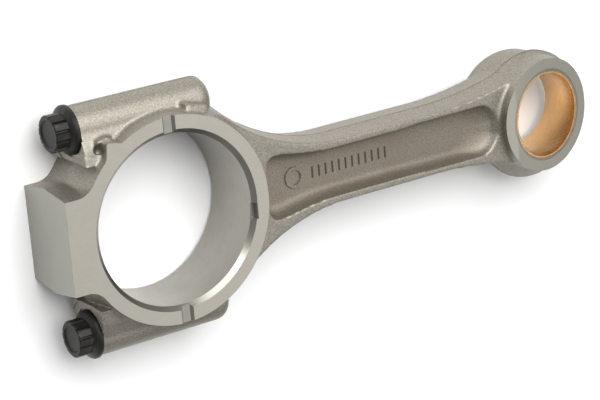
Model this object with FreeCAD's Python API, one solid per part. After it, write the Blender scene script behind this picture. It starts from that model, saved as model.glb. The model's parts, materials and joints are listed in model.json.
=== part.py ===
import FreeCAD, Part
import math
import os

# Connecting rod of a small diesel engine, lying flat.
# The origin is the centre of the big-end bore, +X runs along the rod to the small end,
# +Z is the bore axis and +Y points to the upper cap bolt. All sizes are in mm.

# Main proportions
centre_distance = 203.0        # big-end bore to small-end bore
housing_radius = 37.5          # big-end bore, without bearing shells
thrust_radius = 45.5           # outer edge of the machined thrust faces
big_end_width = 35.4
bore_chamfer = 2.0
bolt_pitch = 90.0              # between the two cap bolts

# Forged body
shank_thickness = 24.0         # along the bore axis
shank_half_height = 14.5
web_thickness = 8.0
flare_radius = 88.0            # shank into big end
flare_end = 90.0
flare_top = 41.0               # where the flare meets the bolt column
eye_flare_radius = 180.0       # shank into small end
eye_flare_start = 140.0
eye_flare_length = 50.0

# Pocket on each side of the web
pocket_start = 49.0
pocket_end = 176.0
pocket_half_start = 9.4        # height of its straight end, from the middle
pocket_shoulder = 14.4         # highest, just past that end
pocket_bend = 67.0             # the edge falls from the shoulder through this bend
pocket_bend_half = 12.2
pocket_waist_start = 84.0
pocket_waist = 11.0
pocket_round_start = 163.0     # the round end next to the eye
pocket_round_half = 12.5
pocket_round_middle = 172.7
pocket_round_middle_half = 8.2

# Small end
bush_bore_radius = 19.5
bush_outer_radius = 21.5
eye_radius = 26.5              # edge of the tapered side faces
eye_ridge_radius = 30.4        # along the forging's parting line
eye_ridge_drop = 2.1           # the ridge sits this much lower than the bore
eye_ridge_flat = 2.0
eye_ridge_slope = 0.68         # how fast its flanks fall towards the side faces
eye_ridge_reach = 11.0         # the flanks run on inside the hub
eye_half_width = 14.0          # at the bore axis
eye_taper = 0.16               # the side faces close towards the tip by this slope
eye_shoulder = 17.2            # widest half width, next to the shank

# Bolt columns and cap
column_radius = 10.1
column_end = 28.0              # blind end in the rod
column_round = 5.0
seat_x = -38.0                 # face under the bolt heads
seat_radius = 11.5
seat_depth = 0.6
pad_face = -52.0               # balancing pad on the cap
pad_root = -36.0
pad_half_height = 20.5
pad_ridge_height = 23.0        # along the forging's parting line
pad_fillet = 10.0
column_web_lead = 4.0          # slope of the web behind each bolt head
column_web_drop = 3.0
split_notch_width = 5.3
split_notch_depth = 1.2

# Slot that keeps the bearing shell from turning
shell_slot_width = 7.0
shell_slot_offset = -5.4
shell_slot_depth = 2.0
shell_slot_length = 3.0

# Cap bolts
thread_radius = 6.0
thread_clearance = 0.06
bolt_hole_radius = 6.35
guide_radius = 6.25            # fitted collar that centres the bolt in the cap
waist_radius = 5.3
collar_start = -9.0
collar_end = -1.5
thread_start = 2.0
bolt_tip = 18.5
hole_bottom = 21.0
tip_chamfer = 1.0
flange_radius = 10.7
flange_rim = 2.6
flange_cone = 1.4
head_height = 10.0
head_radius = 8.25
head_root_radius = 7.1
head_points = 12
head_dish_radius = 5.6
head_dish_depth = 0.6

half_width = big_end_width / 2
bolt_y = bolt_pitch / 2
margin = 5.0                   # cutters reach this far past the stock

X_AXIS = FreeCAD.Vector(1, 0, 0)
Z_AXIS = FreeCAD.Vector(0, 0, 1)


def point(x, y, z=0.0):
    return FreeCAD.Vector(x, y, z)


def line(start, end):
    return Part.makeLine(point(*start), point(*end))


def arc(start, middle, end):
    return Part.Arc(point(*start), point(*middle), point(*end)).toShape()


def slab(edges, bottom, top):
    """Solid between two heights from the edges of a closed plan outline."""
    face = Part.Face(Part.Wire(Part.__sortEdges__(edges)))
    face.translate(point(0, 0, bottom))
    return face.extrude(point(0, 0, top - bottom))


def polygon_slab(corners, bottom, top):
    closed = corners + corners[:1]
    return slab([line(a, b) for a, b in zip(closed[:-1], closed[1:])], bottom, top)


def box(x, y, z):
    """Box from three (low, high) pairs."""
    size = [high - low for low, high in (x, y, z)]
    return Part.makeBox(*size, point(x[0], y[0], z[0]))


def along_x(radius, start, end, y):
    return Part.makeCylinder(radius, end - start, point(start, y), X_AXIS)


def turned_along_x(profile, y):
    """Solid turned about a line parallel to X, from (x, radius) pairs."""
    corners = [point(x, y + radius) for x, radius in profile]
    face = Part.Face(Part.makePolygon(corners + corners[:1]))
    return face.revolve(point(0, y), X_AXIS, 360)


def mirrored_outline(upper):
    """Edges of an outline that is the same above and below the X axis."""
    lower = [edge.mirror(point(0, 0), point(0, 1, 0)) for edge in upper]
    return upper + lower


def big_end_bore():
    """Bore with a chamfer at each face."""
    bore = Part.makeCylinder(housing_radius, big_end_width + 2 * margin,
                             point(0, 0, -half_width - margin))
    flare = bore_chamfer + margin
    for side in (1, -1):
        start = point(0, 0, side * (half_width - bore_chamfer))
        cone = Part.makeCone(housing_radius, housing_radius + flare, flare, start, Z_AXIS * side)
        bore = bore.fuse(cone)
    return bore


def split_notches():
    """Shallow grooves across the thrust faces where the cap was split off."""
    grooves = []
    for y_side in (1, -1):
        for z_side in (1, -1):
            y = sorted((y_side * (housing_radius - margin), y_side * (thrust_radius + margin)))
            z = sorted((z_side * (half_width - split_notch_depth), z_side * (half_width + margin)))
            grooves.append(box((-split_notch_width / 2, split_notch_width / 2), y, z))
    return grooves


def shank():
    """Flat forging between the two ends, before its pockets are cut."""
    rise = flare_radius - (flare_top - shank_half_height)
    turn = math.acos(rise / flare_radius)
    flare_start = flare_end - flare_radius * math.sin(turn)
    half_x = flare_end - flare_radius * math.sin(turn / 2)
    half_y = shank_half_height + flare_radius * (1 - math.cos(turn / 2))
    eye_turn = math.asin(eye_flare_length / eye_flare_radius)
    eye_x = eye_flare_start + eye_flare_length
    eye_y = shank_half_height + eye_flare_radius * (1 - math.cos(eye_turn))
    mid_x = eye_flare_start + eye_flare_radius * math.sin(eye_turn / 2)
    mid_y = shank_half_height + eye_flare_radius * (1 - math.cos(eye_turn / 2))
    upper = [
        line((0, 0), (0, flare_top)),
        line((0, flare_top), (flare_start, flare_top)),
        arc((flare_start, flare_top), (half_x, half_y), (flare_end, shank_half_height)),
        line((flare_end, shank_half_height), (eye_flare_start, shank_half_height)),
        arc((eye_flare_start, shank_half_height), (mid_x, mid_y), (eye_x, eye_y)),
        line((eye_x, eye_y), (centre_distance, eye_y)),
        line((centre_distance, eye_y), (centre_distance, 0)),
    ]
    return slab(mirrored_outline(upper), -shank_thickness / 2, shank_thickness / 2)


def pocket(side):
    """Recess in one face of the shank, wide at the big end and round at the small end."""
    corner = pocket_shoulder - pocket_half_start
    lean = corner * math.sqrt(0.5)
    low_corner = (pocket_start, pocket_half_start)
    corner_middle = (pocket_start + corner - lean, pocket_half_start + lean)
    shoulder = (pocket_start + corner, pocket_shoulder)
    bend = (pocket_bend, pocket_bend_half)
    waist = (pocket_waist_start, pocket_waist)
    round_start = (pocket_round_start, pocket_round_half)
    round_middle = (pocket_round_middle, pocket_round_middle_half)
    upper = [
        line((pocket_start, 0), low_corner),
        arc(low_corner, corner_middle, shoulder),
        arc(shoulder, bend, waist),
        line(waist, round_start),
        arc(round_start, round_middle, (pocket_end, 0)),
    ]
    depths = sorted((side * web_thickness / 2, side * (shank_thickness / 2 + margin)))
    return slab(mirrored_outline(upper), *depths)


def eye():
    """Small-end forging: a hub with a ridge round its parting line, closed in by sloping faces."""
    solid = Part.makeCylinder(eye_radius, 2 * eye_shoulder, point(centre_distance, 0, -eye_shoulder))
    crest = eye_ridge_flat / 2
    narrow_radius = eye_ridge_radius - eye_ridge_slope * eye_ridge_reach
    for side in (1, -1):
        base = point(centre_distance, -eye_ridge_drop, side * crest)
        flank = Part.makeCone(eye_ridge_radius, narrow_radius, eye_ridge_reach, base, Z_AXIS * side)
        solid = solid.fuse(flank)
    band = Part.makeCylinder(eye_ridge_radius, eye_ridge_flat,
                             point(centre_distance, -eye_ridge_drop, -crest))
    return solid.fuse(band).common(eye_wedge())


def eye_wedge():
    """Space between the sloping side faces of the small end."""
    shoulder_x = centre_distance - (eye_shoulder - eye_half_width) / eye_taper
    far_x = centre_distance + eye_ridge_radius + margin
    far_z = eye_half_width - eye_taper * (far_x - centre_distance)
    near_x = centre_distance - eye_ridge_radius - margin
    corners = [(near_x, eye_shoulder), (shoulder_x, eye_shoulder), (far_x, far_z),
               (far_x, -far_z), (shoulder_x, -eye_shoulder), (near_x, -eye_shoulder)]
    reach = eye_ridge_radius + eye_ridge_drop + margin
    profile = [point(x, -reach, z) for x, z in corners]
    return Part.Face(Part.makePolygon(profile + profile[:1])).extrude(point(0, 2 * reach, 0))


def rod_column(y):
    """Bolt column with a rounded blind end."""
    stock = along_x(column_radius, 0, column_end, y)
    rim = max(stock.Edges, key=lambda edge: edge.CenterOfMass.x)
    return stock.makeFillet(column_round, [rim])


def shell_slot():
    middle = shell_slot_offset
    return box((housing_radius - margin, housing_radius + shell_slot_depth),
               (middle - shell_slot_width / 2, middle + shell_slot_width / 2),
               (half_width - shell_slot_length, half_width + margin))


def threaded_hole(y):
    return along_x(thread_radius + thread_clearance, -margin, hole_bottom, y)


def rod_body():
    solid = Part.makeCylinder(thrust_radius, big_end_width, point(0, 0, -half_width))
    for y in (bolt_y, -bolt_y):
        solid = solid.fuse(rod_column(y))
    solid = solid.fuse(shank()).fuse(eye())
    for side in (1, -1):
        solid = solid.cut(pocket(side))
    reach = thrust_radius + column_radius + margin
    solid = solid.cut(box((-reach, 0), (-reach, reach), (-half_width - margin, half_width + margin)))
    solid = solid.cut(big_end_bore())
    solid = solid.cut(Part.makeCylinder(bush_outer_radius, big_end_width + margin,
                                        point(centre_distance, 0, -half_width - margin / 2)))
    solid = solid.cut(shell_slot())
    for groove in split_notches():
        solid = solid.cut(groove)
    for y in (bolt_y, -bolt_y):
        solid = solid.cut(threaded_hole(y))
    return solid


def pad():
    """Balancing pad: a six-sided block that is widest along the parting line."""
    corners = [(pad_half_height, half_width), (pad_ridge_height, 0), (pad_half_height, -half_width),
               (-pad_half_height, -half_width), (-pad_ridge_height, 0), (-pad_half_height, half_width)]
    profile = [point(pad_face, y, z) for y, z in corners]
    return Part.Face(Part.makePolygon(profile + profile[:1])).extrude(point(pad_root - pad_face, 0, 0))


def pad_blend(side):
    """Hollow fillet between the pad and the round of the cap."""
    centre_y = pad_half_height + pad_fillet
    reach = thrust_radius + pad_fillet
    centre_x = -math.sqrt(reach ** 2 - centre_y ** 2)
    touch = (centre_x * thrust_radius / reach, centre_y * thrust_radius / reach)
    stock = polygon_slab([(centre_x, 0), (centre_x, centre_y), touch, (pad_root, 0)],
                         -half_width, half_width)
    hollow = Part.makeCylinder(pad_fillet, big_end_width + 2 * margin,
                               point(centre_x, centre_y, -half_width - margin))
    blend = stock.cut(hollow)
    if side < 0:
        blend = blend.mirror(point(0, 0), point(0, 1, 0))
    return blend


def column_web(y_side):
    """Forging that ties one bolt column of the cap to the round of the cap."""
    low = bolt_y - seat_radius
    corners = [(seat_x, y_side * low), (seat_x, y_side * bolt_y), (0, y_side * bolt_y),
               (0, y_side * low), (seat_x + column_web_lead, y_side * (low - column_web_drop))]
    return polygon_slab(corners, -shank_thickness / 2, shank_thickness / 2)


def big_end_cap():
    solid = Part.makeCylinder(thrust_radius, big_end_width, point(0, 0, -half_width))
    solid = solid.fuse(pad())
    for side in (1, -1):
        solid = solid.fuse(pad_blend(side))
        solid = solid.fuse(column_web(side))
        solid = solid.fuse(along_x(column_radius, seat_x, 0, side * bolt_y))
    reach = thrust_radius + column_radius + margin
    solid = solid.cut(box((0, reach), (-reach, reach), (-half_width - margin, half_width + margin)))
    solid = solid.cut(big_end_bore())
    for groove in split_notches():
        solid = solid.cut(groove)
    for y in (bolt_y, -bolt_y):
        solid = solid.cut(along_x(bolt_hole_radius, seat_x - margin, margin, y))
        solid = solid.cut(along_x(seat_radius, pad_face, seat_x + seat_depth, y))
    return solid


def small_end_bush():
    """Press-fitted sleeve, faced off together with the eye."""
    sleeve = Part.makeCylinder(bush_outer_radius, 2 * eye_shoulder,
                               point(centre_distance, 0, -eye_shoulder))
    bore = Part.makeCylinder(bush_bore_radius, big_end_width + margin,
                             point(centre_distance, 0, -half_width - margin / 2))
    return sleeve.common(eye_wedge()).cut(bore)


def bolt_head():
    """Twelve-point head with a shallow dish in its end."""
    corners = []
    for step in range(2 * head_points):
        angle = math.pi * step / head_points
        radius = head_radius if step % 2 == 0 else head_root_radius
        corners.append((radius * math.cos(angle), radius * math.sin(angle)))
    profile = [point(0, a, b) for a, b in corners]
    teeth = Part.Face(Part.makePolygon(profile + profile[:1])).extrude(point(-head_height, 0, 0))
    dish = Part.makeCylinder(head_dish_radius, head_dish_depth, point(-head_height, 0), X_AXIS)
    return teeth.cut(dish)


def cap_bolt(y):
    """Waisted bolt with a flanged twelve-point head, fitted collar and thread."""
    seat = seat_x + seat_depth
    profile = [
        (seat - flange_rim - flange_cone, 0),
        (seat - flange_rim - flange_cone, head_root_radius),
        (seat - flange_rim, flange_radius),
        (seat, flange_radius),
        (seat, waist_radius),
        (collar_start, waist_radius),
        (collar_start, guide_radius),
        (collar_end, guide_radius),
        (collar_end, waist_radius),
        (thread_start, waist_radius),
        (thread_start, thread_radius),
        (bolt_tip - tip_chamfer, thread_radius),
        (bolt_tip, thread_radius - tip_chamfer),
        (bolt_tip, 0),
    ]
    head = bolt_head()
    head.translate(point(seat, y))
    return turned_along_x(profile, y).fuse(head).removeSplitter()


pieces = {
    "rod_body": rod_body(),
    "big_end_cap": big_end_cap(),
    "small_end_bush": small_end_bush(),
    "cap_bolt_upper": cap_bolt(bolt_y),
    "cap_bolt_lower": cap_bolt(-bolt_y),
}

os.makedirs("parts", exist_ok=True)
for name, shape in pieces.items():
    shape.exportStep(f"parts/{name}.step")
    print(name, "solids", len(shape.Solids), "valid", shape.isValid(), "volume", round(shape.Volume))
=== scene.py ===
import bpy
import json
import math
from mathutils import Matrix, Vector


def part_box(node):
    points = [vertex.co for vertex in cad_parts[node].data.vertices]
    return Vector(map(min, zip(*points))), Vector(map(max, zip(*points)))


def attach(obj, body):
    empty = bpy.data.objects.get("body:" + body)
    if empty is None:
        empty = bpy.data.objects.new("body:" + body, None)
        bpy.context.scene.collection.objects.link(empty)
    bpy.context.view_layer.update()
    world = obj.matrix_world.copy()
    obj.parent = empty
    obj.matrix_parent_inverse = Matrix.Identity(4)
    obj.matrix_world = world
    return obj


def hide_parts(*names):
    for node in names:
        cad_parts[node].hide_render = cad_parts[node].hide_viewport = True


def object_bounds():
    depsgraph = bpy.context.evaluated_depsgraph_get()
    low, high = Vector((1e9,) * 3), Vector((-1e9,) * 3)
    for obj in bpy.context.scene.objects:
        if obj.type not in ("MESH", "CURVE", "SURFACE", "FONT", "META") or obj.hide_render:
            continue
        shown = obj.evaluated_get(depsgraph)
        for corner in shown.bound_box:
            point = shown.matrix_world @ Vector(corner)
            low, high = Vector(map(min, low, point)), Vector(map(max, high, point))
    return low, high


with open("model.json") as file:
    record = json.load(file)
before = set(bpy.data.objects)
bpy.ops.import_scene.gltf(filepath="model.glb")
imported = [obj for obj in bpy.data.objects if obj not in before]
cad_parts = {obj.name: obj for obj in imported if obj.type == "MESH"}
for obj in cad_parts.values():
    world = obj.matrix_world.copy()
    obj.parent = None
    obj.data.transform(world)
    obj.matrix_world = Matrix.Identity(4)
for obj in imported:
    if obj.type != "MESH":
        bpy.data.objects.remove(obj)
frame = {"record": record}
cadLow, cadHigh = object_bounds()
mounts = {mount["name"]: mount for mount in frame["record"]["mounts"]}
mm = 0.001

# Sizes read from the frame, in millimetres like every length in the dictionaries below
boreRadius = mounts["big_end_bore"]["dims"]["r_mm"]
pinRadius = mounts["small_end_bore"]["dims"]["r_mm"]
pinX = mounts["small_end_bore"]["pos_m"][0] / mm
halfWidth = mounts["thrust_face_front"]["pos_m"][2] / mm
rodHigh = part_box("rod_body")[1] / mm
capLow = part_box("big_end_cap")[0] / mm
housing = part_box("small_end_bush")[1].x / mm - pinX
boltLow, boltHigh = (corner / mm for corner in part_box("cap_bolt_upper"))
boltY = (boltLow.y + boltHigh.y) / 2
print("frame loaded")


# Modelling steps, as by hand

def clearSelection():
    if bpy.context.object and bpy.context.object.mode != "OBJECT":
        bpy.ops.object.mode_set(mode="OBJECT")
    bpy.ops.object.select_all(action="DESELECT")


def pick(piece):
    clearSelection()
    piece.select_set(True)
    bpy.context.view_layer.objects.active = piece


def settle(name):
    piece = bpy.context.object
    piece.name = name
    bpy.ops.object.transform_apply(location=True, rotation=True, scale=True)
    return piece


def useModifier(piece, kind, **settings):
    pick(piece)
    modifier = piece.modifiers.new(kind.lower(), kind)
    for setting, value in settings.items():
        setattr(modifier, setting, value)
    bpy.ops.object.modifier_apply(modifier=modifier.name)


# The tool is used up. Faces it leaves keep its material
def combine(piece, tool, operation):
    useModifier(piece, "BOOLEAN", operation=operation, object=tool, solver="MANIFOLD",
                material_mode="TRANSFER")
    bpy.data.objects.remove(tool)


def joinAll(pieces):
    pick(pieces[0])
    for piece in pieces[1:]:
        piece.select_set(True)
    bpy.ops.object.join()
    return bpy.context.object


def copyOf(piece, name):
    double = piece.copy()
    double.data = piece.data.copy()
    double.name = name
    bpy.context.scene.collection.objects.link(double)
    return double


def spotOn(plane, level, a, b):
    spots = {"flat": (a, b, level), "end": (level, a, b), "side": (a, level, b)}
    return Vector(spots[plane]) * mm


# A chain of corners drawn one after another, left in edit mode
def traceChain(name, corners):
    clearSelection()
    bpy.ops.mesh.primitive_plane_add(size=mm, location=corners[0])
    piece = settle(name)
    bpy.ops.object.mode_set(mode="EDIT")
    bpy.ops.mesh.merge(type="CENTER")
    for start, end in zip(corners[:-1], corners[1:]):
        bpy.ops.mesh.extrude_vertices_move(TRANSFORM_OT_translate={"value": end - start})
    return piece


def traceOutline(name, points, plane, level):
    piece = traceChain(name, [spotOn(plane, level, a, b) for a, b in points])
    bpy.ops.mesh.select_all(action="SELECT")
    bpy.ops.mesh.edge_face_add()
    return piece


# Pulls the selected face along and resizes it about a point
def pull(move, grow=(1, 1, 1), about=(0, 0, 0)):
    bpy.ops.mesh.extrude_region_move(TRANSFORM_OT_translate={"value": Vector(move) * mm})
    if tuple(grow) != (1, 1, 1):
        bpy.ops.transform.resize(value=grow, center_override=Vector(about) * mm)


def closeUp():
    bpy.ops.mesh.select_all(action="SELECT")
    bpy.ops.mesh.normals_make_consistent(inside=False)
    bpy.ops.object.mode_set(mode="OBJECT")
    return bpy.context.object


# Rings are (place along the axis, radius). The centre lies across the axis
def stackRings(name, rings, centre, sides, plane="flat"):
    clearSelection()
    place, radius = rings[0]
    turn = (0, math.pi / 2, 0) if plane == "end" else (0, 0, 0)
    bpy.ops.mesh.primitive_circle_add(vertices=sides, radius=radius * mm, fill_type="NGON",
                                      location=spotOn(plane, place, *centre), rotation=turn)
    settle(name)
    bpy.ops.object.mode_set(mode="EDIT")
    bpy.ops.mesh.select_all(action="SELECT")
    for last, ring in zip(rings[:-1], rings[1:]):
        here = spotOn(plane, ring[0], *centre) / mm
        there = spotOn(plane, last[0], *centre) / mm
        ratio = ring[1] / last[1]
        pull(here - there, (ratio, ratio, ratio), here)
    return closeUp()


def buildSlab(name, outline, low, high, plane="flat"):
    traceOutline(name, outline, plane, low)
    pull(spotOn(plane, high - low, 0, 0) / mm)
    return closeUp()


def buildBox(name, low, high):
    clearSelection()
    middle = (Vector(low) + Vector(high)) / 2 * mm
    bpy.ops.mesh.primitive_cube_add(size=1, location=middle, scale=(Vector(high) - Vector(low)) * mm)
    return settle(name)


def buildBall(name, centre, radius):
    clearSelection()
    bpy.ops.mesh.primitive_uv_sphere_add(segments=32, ring_count=16, radius=radius * mm,
                                         location=Vector(centre) * mm)
    return settle(name)


def arcPoints(centre, radius, first, last, steps):
    turns = [math.radians(first + (last - first) * step / steps) for step in range(steps + 1)]
    return [(centre[0] + radius * math.cos(turn), centre[1] + radius * math.sin(turn)) for turn in turns]


def mirrored(points):
    return points + [(a, -b) for a, b in reversed(points)]


def paint(piece, material):
    piece.data.materials.clear()
    piece.data.materials.append(material)


def applyCuts(piece, cuts):
    for tool, material in cuts:
        paint(tool, material)
        combine(piece, tool, "DIFFERENCE")


def applyExtras(piece, extras, material):
    for extra in extras:
        paint(extra, material)
        combine(piece, extra, "UNION")


def finishPiece(piece, name, angle=32):
    pick(piece)
    piece.name = name
    bpy.ops.object.mode_set(mode="EDIT")
    bpy.ops.mesh.select_all(action="SELECT")
    bpy.ops.mesh.remove_doubles(threshold=0.002 * mm)
    bpy.ops.object.mode_set(mode="OBJECT")
    bpy.ops.object.shade_smooth_by_angle(angle=math.radians(angle))


# Materials. A Wire is a number on its way through the nodes, and takes plain arithmetic
class Wire:
    def __init__(self, finish, socket):
        self.finish = finish
        self.socket = socket

    def maths(self, operation, a, b=0.0):
        return self.finish.node("ShaderNodeMath", {"operation": operation}, {0: a, 1: b})

    def __add__(self, other):
        return self.maths("ADD", self, other)

    def __radd__(self, other):
        return self.maths("ADD", other, self)

    def __sub__(self, other):
        return self.maths("SUBTRACT", self, other)

    def __rsub__(self, other):
        return self.maths("SUBTRACT", other, self)

    def __mul__(self, other):
        return self.maths("MULTIPLY", self, other)

    def __rmul__(self, other):
        return self.maths("MULTIPLY", other, self)

    def __truediv__(self, other):
        return self.maths("DIVIDE", self, other)

    def __rtruediv__(self, other):
        return self.maths("DIVIDE", other, self)

    def size(self):
        return self.maths("ABSOLUTE", self)

    def fraction(self):
        return self.maths("FRACT", self)

    # 0 up to the first value, 1 from the second
    def ramp(self, first, second):
        return self.finish.node("ShaderNodeMapRange", {"interpolation_type": "SMOOTHSTEP"},
                                {"Value": self, "From Min": first, "From Max": second})


class Finish:
    def __init__(self, name, metallic=1.0):
        self.material = bpy.data.materials.new(name)
        self.material.use_nodes = True
        self.tree = self.material.node_tree
        self.shader = self.tree.nodes["Principled BSDF"]
        self.put("Metallic", metallic)
        inMetres = self.node("ShaderNodeTexCoord", output="Object")
        self.place = self.node("ShaderNodeVectorMath", {"operation": "SCALE"},
                               {0: inMetres, "Scale": 1 / mm})
        self.x, self.y, self.z = (self.node("ShaderNodeSeparateXYZ", {}, {0: self.place}, axis)
                                  for axis in "XYZ")

    def node(self, kind, settings=None, inputs=None, output=0):
        node = self.tree.nodes.new(kind)
        for setting, value in (settings or {}).items():
            setattr(node, setting, value)
        for key, value in (inputs or {}).items():
            if isinstance(value, Wire):
                self.tree.links.new(value.socket, node.inputs[key])
            else:
                node.inputs[key].default_value = value
        return Wire(self, node.outputs[output])

    def put(self, socket, value):
        if isinstance(value, Wire):
            self.tree.links.new(value.socket, self.shader.inputs[socket])
        else:
            self.shader.inputs[socket].default_value = value

    # Noise about as coarse as the given size in millimetres, longer along some axes
    def grain(self, size, stretch=(1, 1, 1), detail=3.0):
        spread = [1 / (size * factor) for factor in stretch]
        where = self.node("ShaderNodeVectorMath", {"operation": "MULTIPLY"}, {0: self.place, 1: spread})
        return self.node("ShaderNodeTexNoise", {}, {"Vector": where, "Scale": 1.0, "Detail": detail})

    def mix(self, factor, first, second):
        return self.node("ShaderNodeMix", {"data_type": "RGBA"}, {0: factor, 6: first, 7: second}, 2)

    def bump(self, height, depth):
        normal = self.node("ShaderNodeBump", {}, {"Height": height, "Distance": depth * mm})
        self.put("Normal", normal)


def tone(red, green, blue):
    shares = [value / 255 for value in (red, green, blue)]
    return [share / 12.92 if share < 0.04045 else ((share + 0.055) / 1.055) ** 2.4
            for share in shares] + [1.0]


finishes = {
    "peened": {
        # hollow is the colour of the painted shade in the pocket and down the web
        "light": (172, 167, 157), "dark": (138, 133, 123), "hollow": (124, 110, 94), "etched": (78, 62, 46),
        "speckle": 0.65, "cloud": 14.0, "dent": 0.9, "dentDepth": 0.1,
        "clean": 10.0,            # above this height no shade is painted into the hollows
        "side": 15.0,             # nor further out than this
        "roughness": 0.48,
    },
    # Lay is how many times longer the marks are along each axis
    "ground": {"light": (192, 188, 178), "dark": (164, 160, 151), "lay": (14, 1, 1), "roughness": 0.36},
    "eyeGround": {"light": (182, 179, 168), "dark": (160, 157, 147), "lay": (1, 14, 1), "roughness": 0.38},
    "milled": {"light": (166, 165, 157), "dark": (138, 137, 130), "lay": (1, 12, 1), "roughness": 0.4},
    "scratch": {"size": 0.22, "patch": 9.0, "depth": 0.012},
    "bored": {"light": (172, 169, 161), "dark": (136, 133, 126), "pitch": 0.25, "roughness": 0.3},
    "backing": {"light": (164, 161, 151), "dark": (142, 139, 129), "pitch": 0.3, "roughness": 0.38},
    "bronze": {"light": (232, 196, 146), "dark": (202, 160, 110), "pitch": 0.22, "roughness": 0.28},
    "ring": {"length": 18, "patch": 12.0, "depth": 0.008},
    "broken": {"light": (158, 156, 152), "dark": (92, 90, 87), "crystal": 0.6, "depth": 0.3,
               "roughness": 0.45},
    "blackOxide": {
        "light": (44, 43, 41), "dark": (22, 21, 20), "worn": (84, 82, 78),
        "speck": 0.8, "wear": 5.0, "depth": 0.03, "metallic": 0.55, "roughness": 0.34,
    },
}


# Mask of the row of plain bars etched in the front pocket
def etchedBars(finish):
    run = (finish.x - rodSizes["barStart"]) / rodSizes["barPitch"]
    bars = (rodSizes["barWide"] - run.fraction()).ramp(0.0, 0.05)
    bars = bars * run.ramp(-0.02, 0.0) * (rodSizes["barCount"] - run).ramp(0.0, 0.02)
    bars = bars * (rodSizes["barHalf"] - finish.y.size()).ramp(0.0, 0.15)
    return bars * (rodSizes["pocketFloor"] + 1.2 - finish.z).ramp(0.0, 0.2) * finish.z.ramp(0.0, 1.0)


# Shot-peened forging: matte, speckled, with painted shade, darker and browner, down in its hollows
def makePeened(name, values):
    finish = Finish(name)
    speckle = finish.grain(values["speckle"], detail=4.0)
    cloud = finish.grain(values["cloud"], detail=2.0)
    base = finish.mix(speckle.ramp(0.3, 0.75), tone(*values["dark"]), tone(*values["light"]))
    # Painted shade: the pocket and the web near the parting plane are mixed darker and browner, fading out
    # above the set height and further out
    inside = (values["side"] - finish.y.size()).ramp(0.0, 3.0)
    low = (values["clean"] - finish.z.size()).ramp(0.0, 5.0) * inside
    hollowShade = finish.mix(low * (0.21 + 0.3 * cloud), base, tone(*values["hollow"]))
    finish.put("Base Color", finish.mix(etchedBars(finish) * 0.8, hollowShade, tone(*values["etched"])))
    finish.put("Roughness", values["roughness"] + 0.16 * speckle + 0.15 * low)
    dents = finish.grain(values["dent"], detail=2.0)
    finish.bump(dents + 0.4 * speckle, values["dentDepth"])
    return finish.material


# Ground or milled face with fine straight marks
def makeGround(name, values):
    finish = Finish(name)
    scratch = finishes["scratch"]
    lines = finish.grain(scratch["size"], values["lay"])
    patch = finish.grain(scratch["patch"], detail=2.0)
    shade = 0.65 * lines + 0.35 * patch
    finish.put("Base Color", finish.mix(shade, tone(*values["dark"]), tone(*values["light"])))
    finish.put("Roughness", values["roughness"] + 0.12 * (lines - 0.5) + 0.08 * (patch - 0.5))
    finish.bump(lines, scratch["depth"])
    return finish.material


# Bored wall with fine rings round its upright axis
def makeBored(name, values):
    finish = Finish(name)
    ring = finishes["ring"]
    lines = finish.grain(values["pitch"], (ring["length"], ring["length"], 1))
    patch = finish.grain(ring["patch"], detail=2.0)
    shade = 0.6 * lines + 0.4 * patch
    finish.put("Base Color", finish.mix(shade, tone(*values["dark"]), tone(*values["light"])))
    finish.put("Roughness", values["roughness"] + 0.12 * (lines - 0.5))
    finish.bump(lines, ring["depth"])
    return finish.material


def makeBroken(name, values):
    finish = Finish(name)
    crystal = finish.grain(values["crystal"], detail=4.0)
    shade = crystal.ramp(0.4, 0.65)
    finish.put("Base Color", finish.mix(shade, tone(*values["dark"]), tone(*values["light"])))
    finish.put("Roughness", values["roughness"] + 0.25 * crystal)
    finish.bump(crystal, values["depth"])
    return finish.material


def makeBlackOxide(name, values):
    finish = Finish(name, values["metallic"])
    speck = finish.grain(values["speck"], detail=4.0)
    wear = finish.grain(values["wear"])
    base = finish.mix(speck, tone(*values["dark"]), tone(*values["light"]))
    finish.put("Base Color", finish.mix(wear.ramp(0.55, 0.75) * 0.35, base, tone(*values["worn"])))
    finish.put("Roughness", values["roughness"] + 0.2 * wear)
    finish.bump(speck, values["depth"])
    return finish.material


# What the rod and the cap have in common: rough stock, softened, then machined
forging = {
    "voxel": 0.7,
    "smoothRounds": 5,
    "stock": 1.5,             # left on for machining
    "hubEdge": 45.5,          # thrust face, measured on the machined plane
    "hubDraft": 0.11,
    "hubSides": 128,
    "columnRadius": 9.9,
    "columnRound": 6.0,
    "columnSides": 64,
    "web": ((31.5, 14.0), (38.0, 12.8), (45.0, 9.8), (47.0, 8.8)),
    "flash": 0.08,            # trimmed line left round the parting plane
    "flashHalf": 0.7,
    "chamfer": 2.0,
    "boreSides": 192,
    "boreCutter": 8,          # how far past the faces it reaches
    "faceCutter": (-70, 260, -80, 80, 60),
}


def buildHub(name):
    top = halfWidth + forging["stock"]
    rings = [(z, forging["hubEdge"] + forging["hubDraft"] * (halfWidth - abs(z))) for z in (-top, 0, top)]
    return stackRings(name, rings, (0, 0), forging["hubSides"])


# Bolt column: from its fracture end or seat to the other end
def buildColumn(name, y, start, end, rounded):
    radius, edge = forging["columnRadius"], forging["columnRound"]
    rings = [(start, radius)]
    if rounded:
        for turn in range(0, 91, 15):
            bend = math.radians(turn)
            rings.append((end - edge + edge * math.sin(bend), radius - edge + edge * math.cos(bend)))
    else:
        rings.append((end, radius))
    return stackRings(name, rings, (y, 0), forging["columnSides"], "end")


# Forging between a bolt column and the round of the big end, falling towards the column
def buildWeb(side, start, end):
    section = [(side * y, z) for y, z in mirrored(list(forging["web"]))]
    return buildSlab("web", section, start, end, "end")


# Thin line of metal left where the flash was trimmed off
def buildFlash(name, outline):
    half = forging["flashHalf"]
    return buildSlab(name, outline, -half, half)


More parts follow.
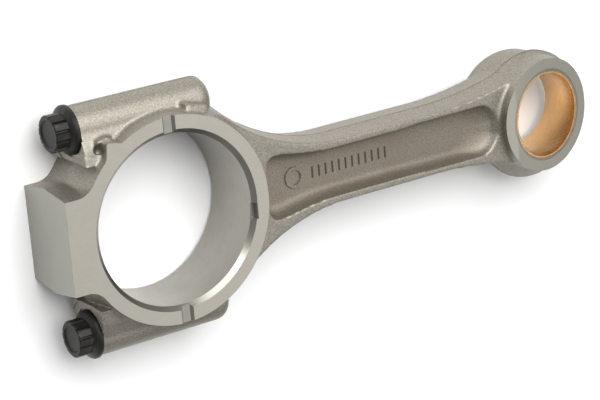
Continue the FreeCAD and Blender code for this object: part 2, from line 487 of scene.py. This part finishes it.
def buildColumnFlash(y, start, end):
    edge = forging["columnRound"]
    inner, outer = y * 0.9, math.copysign(rodHigh.y, y)
    centre = (end - edge, outer - math.copysign(edge, y))
    corner = arcPoints(centre, edge, math.copysign(90, y), 0, 6)
    return buildFlash("columnFlash", [(start, inner), (start, outer)] + corner + [(end, inner)])


def remesh(piece):
    useModifier(piece, "REMESH", mode="VOXEL", voxel_size=forging["voxel"] * mm, adaptivity=0.0)


def soften(piece):
    useModifier(piece, "SMOOTH", factor=0.5, iterations=forging["smoothRounds"])


def buildBoreCutter():
    chamfer, beyond = forging["chamfer"], forging["boreCutter"]
    wide = boreRadius + chamfer + beyond
    rings = [(-halfWidth - beyond, wide), (-halfWidth + chamfer, boreRadius),
             (halfWidth - chamfer, boreRadius), (halfWidth + beyond, wide)]
    return stackRings("boreCutter", rings, (0, 0), forging["boreSides"])


def buildFaceCutters():
    left, right, under, over, far = forging["faceCutter"]
    return [buildBox("faceTop", (left, under, halfWidth), (right, over, far)),
            buildBox("faceUnder", (left, under, -far), (right, over, -halfWidth))]


# The cap is cracked off the rod. Both parts are cut by the same ragged sheet
split = {
    "sheet": (48, 130),
    "cells": (64, 176),
    "grain": 1.6,
    "ragged": 0.5,
    "cutter": 90,
    "notchHalf": 3.9,
    "notchFloor": 1.9,
    "notchDepth": 1.3,
    "notchInside": 5.0,       # reach past the bore and past the edge of the thrust face
    "notchOutside": 1.2,
}


def buildFracture():
    texture = bpy.data.textures.new("crackTexture", "CLOUDS")
    texture.noise_scale = split["grain"] * mm
    texture.noise_depth = 2
    across, along = split["sheet"]
    clearSelection()
    bpy.ops.mesh.primitive_grid_add(x_subdivisions=split["cells"][0], y_subdivisions=split["cells"][1],
                                    size=1, scale=(across * mm, along * mm, 1), rotation=(0, math.pi / 2, 0))
    fracture = settle("fracture")
    useModifier(fracture, "DISPLACE", texture=texture, strength=split["ragged"] * mm, mid_level=0.5,
                direction="X", texture_coords="LOCAL")
    return fracture


def buildHalfCutter(fracture, name, side):
    pick(copyOf(fracture, name))
    bpy.ops.object.mode_set(mode="EDIT")
    bpy.ops.mesh.select_all(action="SELECT")
    back = (side * split["cutter"], 0, 0)
    pull(back, (0, 1, 1), back)
    return closeUp()


def buildNotches():
    floorHalf, topHalf = split["notchFloor"], split["notchHalf"]
    low, high = halfWidth - split["notchDepth"], halfWidth + 1
    start = boreRadius - split["notchInside"]
    end = forging["hubEdge"] + split["notchOutside"]
    notches = []
    for ySide in (-1, 1):
        for zSide in (-1, 1):
            section = [(-topHalf, high), (-floorHalf, low), (floorHalf, low), (topHalf, high)]
            section = [(x, zSide * z) for x, z in section]
            notches.append(buildSlab("notch", section, ySide * start, ySide * end, "side"))
    return notches


# Rod
rodSizes = {
    "shankHalf": 14.2,
    "shankRidge": 1.2,        # how far the parting line stands out
    "shankThick": 12.0,
    "shankEnds": (18, 193),
    "shankStep": 6,
    "flareEnd": 90.0,         # towards the big end
    "flareRadius": 88.0,
    "flareLimit": 0.715,
    "eyeFlareStart": 140.0,
    "eyeFlareRadius": 180.0,
    "pocketFloor": 4.0,
    "pocketStart": 50.5,
    "pocketStartHalf": 7.7,
    "pocketCorner": 4.1,
    "pocketSides": ((58.5, 11.6), (63.5, 10.8), (69.5, 9.9), (76.5, 9.2), (84.5, 9.0), (115.0, 9.1),
                    (145.0, 9.7)),
    "pocketEnd": 165.0,
    "pocketEndRadius": 9.8,
    "pocketPivot": 62.3,      # the outline grows from here, along and across, as the walls rise
    "pocketFlat": (0.955, 0.8),
    "pocketWalls": ((4.2, 0.98, 0.89), (4.7, 1.005, 0.975), (5.5, 1.03, 1.05), (7.0, 1.062, 1.125),
                    (9.0, 1.088, 1.175), (12.0, 1.108, 1.22), (30.0, 1.115, 1.24)),
    "eyeEdge": 26.5,
    "eyeRidge": 30.0,
    "eyeDrop": 2.1,           # the ridge is forged off centre
    "ridgeReach": 12.0,
    "ridgeFlat": 1.0,
    "ridgeLean": 0.68,
    "eyeShoulder": 17.2,      # flat part of the side faces, before they taper
    "eyeHalf": 14.0,
    "eyeTaper": 0.16,
    "wedgeReach": (-32, 45, 60),
    "seatCutter": 40,
    "columnEnds": (-4, 28),
    "webEnd": 21,
    "lug": ((10.5, 43.0), (21.0, 40.5), (21.5, 45.2), (10.5, 47.8)),
    "lugHeights": (2, 15.2),
    "flashEnds": (44, 184),
    "flashTurns": (128.8, -143.7),
    "markSpot": (67.5, 0.0),  # plain ring raised by the forging die
    "markOuter": 4.7,
    "markInner": 3.2,
    "markHigh": 0.85,
    "markDraft": 0.3,
    "markSides": 48,
    "barStart": 77.0,         # plain etched bars
    "barPitch": 3.6,
    "barCount": 12,
    "barWide": 0.32,
    "barHalf": 2.7,
    "slotWidth": (-8.9, -1.9),
    "slotDeep": 2.0,
    "slotLong": 3.0,
    "slotCutter": (5, 6),     # reach inside the bore and past the thrust face
    "tapRadius": 6.06,
    "tapEnds": (-6, 21),
    "drillPoint": 3.0,
}


# Half height of the shank at a place along it
def shankHalf(x):
    half = rodSizes["shankHalf"]
    if x < rodSizes["flareEnd"]:
        radius = rodSizes["flareRadius"]
        run = min((rodSizes["flareEnd"] - x) / radius, rodSizes["flareLimit"])
    elif x > rodSizes["eyeFlareStart"]:
        radius = rodSizes["eyeFlareRadius"]
        run = (x - rodSizes["eyeFlareStart"]) / radius
    else:
        return half
    return half + radius * (1 - math.sqrt(1 - run ** 2))


def buildShank():
    first, last = rodSizes["shankEnds"]
    stations = list(range(first, last, rodSizes["shankStep"]))
    tall, thick = shankHalf(first), rodSizes["shankThick"]
    proud = tall * (1 + rodSizes["shankRidge"] / rodSizes["shankHalf"])
    section = [(tall, thick), (proud, 0), (tall, -thick), (-tall, -thick), (-proud, 0), (-tall, thick)]
    traceOutline("shank", section, "end", first)
    for here, there in zip(stations[:-1], stations[1:]):
        pull((there - here, 0, 0), (1, shankHalf(there) / shankHalf(here), 1))
    return closeUp()


# One drafted hollow, cut down to the web. It widens as it rises, most of all at its dished end
def buildPocket(side):
    corner, endRadius = rodSizes["pocketCorner"], rodSizes["pocketEndRadius"]
    left = arcPoints((rodSizes["pocketStart"] + corner, rodSizes["pocketStartHalf"]), corner, 180, 90, 6)
    right = arcPoints((rodSizes["pocketEnd"] - endRadius, 0), endRadius, 84, 14, 8)
    pivot, depth, (length, width) = rodSizes["pocketPivot"], rodSizes["pocketFloor"], rodSizes["pocketFlat"]
    outline = mirrored(left + list(rodSizes["pocketSides"]) + right)
    outline = [(pivot + (x - pivot) * length, y * width) for x, y in outline]
    traceOutline("pocket", outline, "flat", side * depth)
    for height, along, across in rodSizes["pocketWalls"]:
        pull((0, 0, side * (height - depth)), (along / length, across / width, 1), (pivot, 0, 0))
        depth, length, width = height, along, across
    return closeUp()


def buildEye():
    top = rodSizes["eyeShoulder"] + forging["stock"]
    edge, ridge = rodSizes["eyeEdge"], rodSizes["eyeRidge"]
    reach, flat = rodSizes["ridgeReach"], rodSizes["ridgeFlat"]
    narrow = ridge - rodSizes["ridgeLean"] * (reach - flat)
    hub = stackRings("eyeHub", [(-top, edge), (top, edge)], (pinX, 0), forging["hubSides"])
    rings = [(-reach, narrow), (-flat, ridge), (flat, ridge), (reach, narrow)]
    return [hub, stackRings("eyeRidge", rings, (pinX, -rodSizes["eyeDrop"]), forging["hubSides"])]


# Space beside the eye: its side faces are flat, then close in towards the end
def buildWedge(side):
    shoulder, half, taper = (rodSizes[key] for key in ("eyeShoulder", "eyeHalf", "eyeTaper"))
    near, far, out = rodSizes["wedgeReach"]
    bend = -(shoulder - half) / taper
    outline = [(near, shoulder), (bend, shoulder), (far, half - taper * far), (far, out), (near, out)]
    return buildSlab("wedge", [(pinX + x, side * z) for x, z in outline], -out, out, "side")


def buildRodFlash():
    reach = 1 + rodSizes["shankRidge"] / rodSizes["shankHalf"]
    stations = range(*rodSizes["flashEnds"], rodSizes["shankStep"])
    along = [(x, shankHalf(x) * reach + forging["flash"]) for x in stations]
    tip = arcPoints((pinX, -rodSizes["eyeDrop"]), rodHigh.x - pinX - 0.1, *rodSizes["flashTurns"], 40)
    below = [(x, -y) for x, y in reversed(along[:-1])]
    return buildFlash("rodFlash", along + tip + below)


def buildDieMark():
    outer, inner, draft = (rodSizes[key] for key in ("markOuter", "markInner", "markDraft"))
    spot, sides = rodSizes["markSpot"], rodSizes["markSides"]
    low, high = rodSizes["pocketFloor"] - 1, rodSizes["pocketFloor"] + rodSizes["markHigh"]
    disc = stackRings("dieMark", [(low, outer + draft), (high, outer)], spot, sides)
    hole = stackRings("dieHole", [(low - 1, inner), (high + 1, inner + draft)], spot, sides)
    combine(disc, hole, "DIFFERENCE")
    return disc


def buildRodStock():
    start, end = rodSizes["columnEnds"]
    stock = [buildHub("hub"), buildShank()] + buildEye()
    for side in (-1, 1):
        stock.append(buildColumn("column", side * boltY, start, end, True))
        stock.append(buildWeb(side, start, rodSizes["webEnd"]))
    stock.append(buildSlab("lug", rodSizes["lug"], *rodSizes["lugHeights"]))
    rod = joinAll(stock)
    remesh(rod)
    for side in (-1, 1):
        combine(rod, buildPocket(side), "DIFFERENCE")
    remesh(rod)
    soften(rod)
    paint(rod, peened)
    extras = [buildRodFlash(), buildDieMark()] + [buildColumnFlash(y, start, end) for y in (-boltY, boltY)]
    applyExtras(rod, extras, peened)
    return rod


def buildShellSlot():
    (low, high), (inside, past) = rodSizes["slotWidth"], rodSizes["slotCutter"]
    return buildBox("shellSlot", (boreRadius - inside, low, halfWidth - rodSizes["slotLong"]),
                    (boreRadius + rodSizes["slotDeep"], high, halfWidth + past))


def buildTapHole(y):
    (start, end), radius = rodSizes["tapEnds"], rodSizes["tapRadius"]
    rings = [(start, radius), (end, radius), (end + rodSizes["drillPoint"], 0.5)]
    return stackRings("tapHole", rings, (y, 0), forging["columnSides"], "end")


def buildRod(fracture):
    rod = buildRodStock()
    cuts = [(tool, ground) for tool in buildFaceCutters()]
    cuts += [(buildWedge(side), eyeGround) for side in (-1, 1)]
    cuts.append((buildHalfCutter(fracture, "rodSplit", -1), broken))
    cuts.append((buildBoreCutter(), bored))
    reach = rodSizes["seatCutter"]
    seat = stackRings("bushSeat", [(-reach, housing), (reach, housing)], (pinX, 0), bushSizes["sides"])
    cuts.append((seat, bored))
    cuts.append((buildShellSlot(), milled))
    cuts += [(tool, bored) for tool in buildNotches()]
    cuts += [(buildTapHole(y), milled) for y in (-boltY, boltY)]
    applyCuts(rod, cuts)
    finishPiece(rod, "rodForging")
    return rod


# Cap
capSizes = {
    "padHalf": 20.5,
    "padRidge": 23.0,
    "padRoot": -36.0,
    "padBlend": 10.0,
    "padBlendFoot": ((-30, 20), (-34, 0)),
    "padCutter": (20, 40, 60),
    "seat": -38.0,            # end of the bolt columns
    "seatStock": 1.2,
    "columnStart": 4,
    "webEnds": (-38.5, 3),
    "lug": ((-31.0, 33.0), (-30.0, 40.8), (-24.6, 39.8), (-20.0, 36.0)),
    "lugLow": 8,
    "burr": ((-33.0, 41.2), (-28.0, 42.3), (-25.0, 41.6), (-25.4, 40.4), (-28.0, 40.9), (-32.6, 39.8)),
    "burrHeights": (9, 14.4),
    "dimples": (((-31.9, 37.6, 13.4), 2.2), ((-31.2, 36.2, 11.6), 2.0)),
    "trimRadius": 15.0,
    "spotRadius": 11.5,
    "holeRadius": 6.35,
    "faceSides": 96,
    "cutterStart": -60.0,
    "cutterEnd": 8,
}


def buildPad():
    half, ridge = capSizes["padHalf"], capSizes["padRidge"]
    top = halfWidth + forging["stock"]
    section = [(half, top), (half, halfWidth), (ridge, 0), (half, -halfWidth), (half, -top),
               (-half, -top), (-half, -halfWidth), (-ridge, 0), (-half, halfWidth), (-half, top)]
    return buildSlab("pad", section, capLow.x - forging["stock"], capSizes["padRoot"], "end")


# Hollow fillet from the pad into the round of the cap
def buildPadBlend(side):
    radius, half = capSizes["padBlend"], capSizes["padHalf"]
    centreY = half + radius
    centreX = -math.sqrt((forging["hubEdge"] + radius) ** 2 - centreY ** 2)
    last = math.degrees(math.atan2(-centreY, -centreX))
    hollow = arcPoints((centreX, centreY), radius, -90, last, 8)
    outline = hollow + list(capSizes["padBlendFoot"]) + [(centreX, 0)]
    top = halfWidth + forging["stock"]
    return buildSlab("padBlend", [(x, side * y) for x, y in outline], -top, top)


def buildPadCutter():
    deep, wide, high = capSizes["padCutter"]
    return buildBox("padFace", (capLow.x - deep, -wide, -high), (capLow.x, wide, high))


def buildCapStock():
    seat, start = capSizes["seat"], capSizes["columnStart"]
    stock = [buildHub("capHub"), buildPad(), buildPadBlend(-1), buildPadBlend(1)]
    for side in (-1, 1):
        stock.append(buildColumn("capColumn", side * boltY, seat - capSizes["seatStock"], start, False))
        stock.append(buildWeb(side, *capSizes["webEnds"]))
    stock.append(buildSlab("capLug", capSizes["lug"], capSizes["lugLow"], halfWidth + forging["stock"]))
    stock.append(buildSlab("capBurr", capSizes["burr"], *capSizes["burrHeights"]))
    cap = joinAll(stock)
    remesh(cap)
    for spot, radius in capSizes["dimples"]:
        combine(cap, buildBall("dimple", spot, radius), "DIFFERENCE")
    soften(cap)
    paint(cap, peened)
    applyExtras(cap, [buildColumnFlash(y, start, seat) for y in (-boltY, boltY)], peened)
    return cap


def buildCap(fracture):
    cap = buildCapStock()
    cuts = [(tool, ground) for tool in buildFaceCutters()]
    cuts.append((buildPadCutter(), milled))
    cuts.append((buildHalfCutter(fracture, "capSplit", 1), broken))
    cuts.append((buildBoreCutter(), bored))
    cuts += [(tool, bored) for tool in buildNotches()]
    for y in (-boltY, boltY):
        for name, radius, end, sides, material in (
            ("trimFace", capSizes["trimRadius"], capSizes["seat"], capSizes["faceSides"], peened),
            ("spotFace", capSizes["spotRadius"], boltSeat, capSizes["faceSides"], milled),
            ("boltHole", capSizes["holeRadius"], capSizes["cutterEnd"], forging["columnSides"], milled),
        ):
            rings = [(capSizes["cutterStart"], radius), (end, radius)]
            cuts.append((stackRings(name, rings, (y, 0), sides, "end"), material))
    applyCuts(cap, cuts)
    finishPiece(cap, "capForging")
    return cap


# Bush: a steel back with a bronze lining
bushSizes = {
    "play": 0.02,
    "lining": 1.1,            # how far in the bronze starts
    "half": 18,               # before its ends are faced off with the eye
    "cutter": 30,
    "sides": 160,
    "backEdge": 0.12,
    "liningEdge": 0.2,
}


def buildSleeve(name, outer, inner, material, edge):
    half, cutter, sides, centre = bushSizes["half"], bushSizes["cutter"], bushSizes["sides"], (pinX, 0)
    sleeve = stackRings(name, [(-half, outer), (half, outer)], centre, sides)
    paint(sleeve, material)
    cuts = [(stackRings("sleeveBore", [(-cutter, inner), (cutter, inner)], centre, sides), material)]
    cuts += [(buildWedge(side), material) for side in (-1, 1)]
    applyCuts(sleeve, cuts)
    useModifier(sleeve, "BEVEL", width=edge * mm, segments=2, limit_method="ANGLE",
                angle_limit=math.radians(40))
    finishPiece(sleeve, name)
    return sleeve


# Bolt. Rings are places along it and radii
boltSizes = {
    "length": 55.9,           # from the seat to the tip
    "flange": ((-6.0, 6.9), (-4.0, 7.1), (-2.6, 9.9), (-2.2, 10.3), (-1.5, 10.7), (-0.25, 10.7),
               (0.0, 10.45), (0.01, 5.7), (0.8, 5.3)),                         # from the seat
    "collar": ((-9.6, 5.3), (-9.0, 6.25), (-1.5, 6.25), (-0.9, 5.3), (2.0, 5.3), (2.6, 5.45)),
    "tip": ((-0.9, 5.45), (0.0, 4.7)),
    "headForm": ((-2.0, 9.0), (-9.3, 8.3), (-10.0, 7.5), (-9.99, 6.1), (-9.4, 5.5)),
    "sides": 72,
    "points": 12,
    "tooth": ((-9.5, 8.05), (9.5, 8.05), (13, 7.1), (17, 7.1)),                # degrees and radius
    "headEnds": (-3.4, -10.9),
    "thread": ((0.0, 5.3), (0.38, 5.98), (0.5, 5.98), (0.88, 5.3), (1.0, 5.3)),  # share of the pitch
    "threadStart": 2.4,
    "threadStop": 1.2,        # short of the tip
    "pitch": 1.25,
    "threadSteps": 48,
}
boltSeat = boltHigh.x - boltSizes["length"]


def buildShaft(name, y):
    rings = [(boltSeat + x, radius) for x, radius in boltSizes["flange"]] + list(boltSizes["collar"])
    rings += [(boltHigh.x + x, radius) for x, radius in boltSizes["tip"]]
    return stackRings(name, rings, (y, 0), boltSizes["sides"], "end")


def buildHead(name, y):
    teeth = []
    for tooth in range(boltSizes["points"]):
        for lean, radius in boltSizes["tooth"]:
            turn = math.radians(360 / boltSizes["points"] * tooth + lean)
            teeth.append((y + radius * math.cos(turn), radius * math.sin(turn)))
    start, end = boltSizes["headEnds"]
    head = buildSlab(name, teeth, boltSeat + start, boltSeat + end, "end")
    turned = [(boltSeat + x, radius) for x, radius in boltSizes["headForm"]]
    combine(head, stackRings(name + "Form", turned, (y, 0), boltSizes["sides"], "end"), "INTERSECT")
    return head


def buildThread(name, y):
    start, pitch = boltSizes["threadStart"], boltSizes["pitch"]
    turns = int((boltHigh.x - boltSizes["threadStop"] - start) / pitch)
    profile = [Vector((share * pitch, radius, 0)) * mm for share, radius in boltSizes["thread"]]
    thread = traceChain(name, profile)
    bpy.ops.object.mode_set(mode="OBJECT")
    useModifier(thread, "SCREW", axis="X", angle=2 * math.pi, screw_offset=pitch * mm, iterations=turns,
                steps=boltSizes["threadSteps"], render_steps=boltSizes["threadSteps"],
                use_merge_vertices=True, merge_threshold=0.002 * mm)
    pick(thread)
    bpy.ops.transform.translate(value=(start * mm, y * mm, 0))
    bpy.ops.object.transform_apply(location=True, rotation=False, scale=False)
    bpy.ops.object.mode_set(mode="EDIT")
    bpy.ops.mesh.select_all(action="SELECT")
    bpy.ops.mesh.fill_holes(sides=0)
    return closeUp()


def buildBolt(name, y):
    bolt = buildShaft(name + "Shaft", y)
    paint(bolt, blackOxide)
    applyExtras(bolt, [buildHead(name + "Head", y), buildThread(name + "Thread", y)], blackOxide)
    finishPiece(bolt, name, 24)
    return bolt


peened = makePeened("peenedForging", finishes["peened"])
ground = makeGround("groundFace", finishes["ground"])
eyeGround = makeGround("eyeGroundFace", finishes["eyeGround"])
milled = makeGround("milledFace", finishes["milled"])
bored = makeBored("boredWall", finishes["bored"])
backing = makeBored("bushBacking", finishes["backing"])
bronze = makeBored("bushLining", finishes["bronze"])
broken = makeBroken("brokenFace", finishes["broken"])
blackOxide = makeBlackOxide("blackOxide", finishes["blackOxide"])
print("materials made")

fracture = buildFracture()
rod = buildRod(fracture)
print("rod built", len(rod.data.polygons))
cap = buildCap(fracture)
print("cap built", len(cap.data.polygons))
bpy.data.objects.remove(fracture)
bushBack = buildSleeve("bushBack", housing - bushSizes["play"], housing - bushSizes["lining"], backing,
                       bushSizes["backEdge"])
bushLining = buildSleeve("bushLining", housing - bushSizes["lining"], pinRadius, bronze,
                         bushSizes["liningEdge"])
print("bush built")
upperBolt = buildBolt("upperBolt", boltY)
lowerBolt = buildBolt("lowerBolt", -boltY)
print("bolts built")

for piece, body, node, slot in (
    (rod, "rod", "rod_body", "forged_steel"),
    (cap, "cap", "big_end_cap", "forged_steel"),
    (bushBack, "rod", "small_end_bush", "bearing_bronze"),
    (bushLining, "rod", "small_end_bush", "bearing_bronze"),
    (upperBolt, "bolt_upper", "cap_bolt_upper", "black_bolt_steel"),
    (lowerBolt, "bolt_lower", "cap_bolt_lower", "black_bolt_steel"),
):
    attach(piece, body)
    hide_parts(node)

# Table, camera and lights. A lamp is its place in metres, its size and its power
studio = {
    "floorSize": 6,
    "floorTone": 0.9,
    "world": 0.38,
    "target": (0.09, 0, 0),
    "lamps": {
        "keyLamp": ((0.05, 0.65, 0.95), 1.2, 18),
        "glintLamp": ((-0.5, 0.58, 0.62), 0.35, 1.6),
        "softLamp": ((0.75, -0.35, 0.95), 1.1, 2.3),
    },
    "cameraFrom": (-482.8, 315.2, 862.7),
    "cameraView": (0.5156, -0.3044, -0.8010),
    "cameraUp": (0.2344, 0.9492, -0.2099),
    "lens": 146.2,
}

clearSelection()
bpy.ops.mesh.primitive_plane_add(size=studio["floorSize"], location=(0, 0, cadLow.z))
floor = settle("floor")
floorFinish = Finish("floorFinish", 0.0)
floorFinish.put("Base Color", [studio["floorTone"]] * 3 + [1.0])
floorFinish.put("Roughness", 0.9)
paint(floor, floorFinish.material)

view = Vector(studio["cameraView"]).normalized()
right = view.cross(Vector(studio["cameraUp"])).normalized()
up = right.cross(view)
clearSelection()
bpy.ops.object.camera_add(location=Vector(studio["cameraFrom"]) * mm)
camera = bpy.context.object
camera.name = "camera"
camera.data.lens = studio["lens"]
camera.data.clip_start = 0.05
camera.rotation_mode = "QUATERNION"
camera.rotation_quaternion = Matrix((right, up, -view)).transposed().to_quaternion()
bpy.context.scene.camera = camera

world = bpy.data.worlds.new("studio")
world.use_nodes = True
backdrop = world.node_tree.nodes["Background"]
backdrop.inputs["Color"].default_value = (1, 1, 1, 1)
backdrop.inputs["Strength"].default_value = studio["world"]
bpy.context.scene.world = world
bpy.context.scene.view_settings.view_transform = "Standard"

for name, (place, size, power) in studio["lamps"].items():
    clearSelection()
    bpy.ops.object.light_add(type="AREA", location=place)
    lamp = bpy.context.object
    lamp.name = name
    lamp.data.shape = "DISK"
    lamp.data.size = size
    lamp.data.energy = power
    lamp.rotation_mode = "QUATERNION"
    lamp.rotation_quaternion = (Vector(studio["target"]) - lamp.location).to_track_quat("-Z", "Y")
print("stage set")
